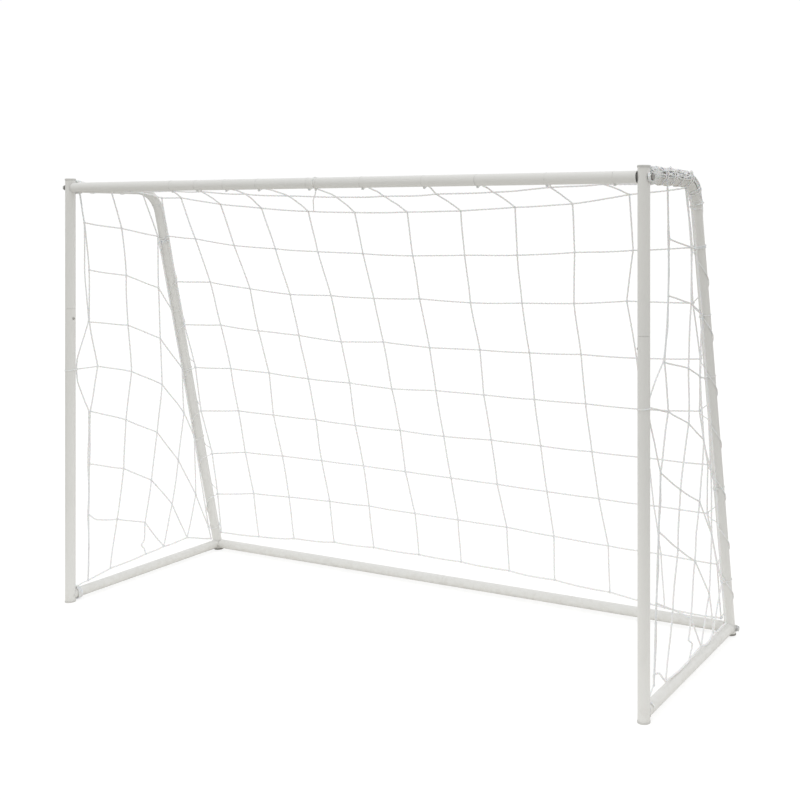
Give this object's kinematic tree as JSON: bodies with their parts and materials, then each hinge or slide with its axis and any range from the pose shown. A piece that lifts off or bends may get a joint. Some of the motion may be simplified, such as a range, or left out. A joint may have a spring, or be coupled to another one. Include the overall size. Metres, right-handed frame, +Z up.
{
  "type": "soccer goal frame",
  "caption": "Small free-standing football goal: bent-tube side frames, bolted crossbar and rear ground bar, snap-button posts and a knotted cord net.",
  "frame": {"origin": "middle of the footprint, on the ground", "axes": "+X along the goal line (right-hand post as seen from the mouth), +Y from the mouth to the back, +Z up"},
  "size_m": [1.8408, 0.6236, 1.22],
  "materials": {
    "white_tube": "white powder coat, semi-gloss",
    "grey_cap": "moulded, satin",
    "dark_foot": "moulded, matt",
    "black_plastic": "moulded, matt",
    "zinc": "zinc plated",
    "dark_steel": "dull grey zinc plated",
    "spring_steel": "oiled spring steel",
    "net_cord": "twisted white cord",
    "tie_cord": "twisted white cord"
  },
  "bodies": {
    "frame": {"crossbar_bolt_left": "dark_steel", "crossbar_bolt_right": "dark_steel", "crossbar_insert_left": "black_plastic", "crossbar_insert_right": "black_plastic", "crossbar_left": "white_tube", "crossbar_right": "white_tube", "crossbar_saddle_left": "black_plastic", "crossbar_saddle_right": "black_plastic", "crossbar_washer_left": "zinc", "crossbar_washer_right": "zinc", "ground_bar_left": "white_tube", "ground_bar_right": "white_tube", "ground_bolt_left": "dark_steel", "ground_bolt_right": "dark_steel", "ground_insert_left": "black_plastic", "ground_insert_right": "black_plastic", "ground_saddle_left": "black_plastic", "ground_saddle_right": "black_plastic", "ground_washer_left": "zinc", "ground_washer_right": "zinc", "leg_foot_left": "dark_foot", "leg_foot_right": "dark_foot", "net_back": "net_cord", "net_left": "net_cord", "net_right": "net_cord", "net_top": "net_cord", "post_cap_left": "grey_cap", "post_cap_right": "grey_cap", "post_foot_left": "grey_cap", "post_foot_right": "grey_cap", "post_lower_left": "white_tube", "post_lower_right": "white_tube", "post_upper_left": "white_tube", "post_upper_right": "white_tube", "rear_tube_left": "white_tube", "rear_tube_right": "white_tube", "side_bar_left": "white_tube", "side_bar_right": "white_tube", "snap_spring_left": "spring_steel", "snap_spring_right": "spring_steel", "tie_post_left": "tie_cord", "tie_post_right": "tie_cord", "ties_crossbar": "tie_cord", "ties_rear_left": "tie_cord", "ties_rear_right": "tie_cord"},
    "snap_button_left": {"snap_button_left": "spring_steel"},
    "snap_button_right": {"snap_button_right": "spring_steel"}
  },
  "joints": [
    {"name": "snap_left_press", "type": "hinge", "parent": "frame", "child": "snap_button_left", "pos_m": [-0.8877, -0.29502, 0.855], "axis": [0, 1, 0], "range_deg": [0, 6.5], "stiffness_Nm_per_rad": 4},
    {"name": "snap_right_press", "type": "hinge", "parent": "frame", "child": "snap_button_right", "pos_m": [0.8877, -0.29502, 0.855], "axis": [0, -1, 0], "range_deg": [0, 6.5], "stiffness_Nm_per_rad": 4}
  ]
}
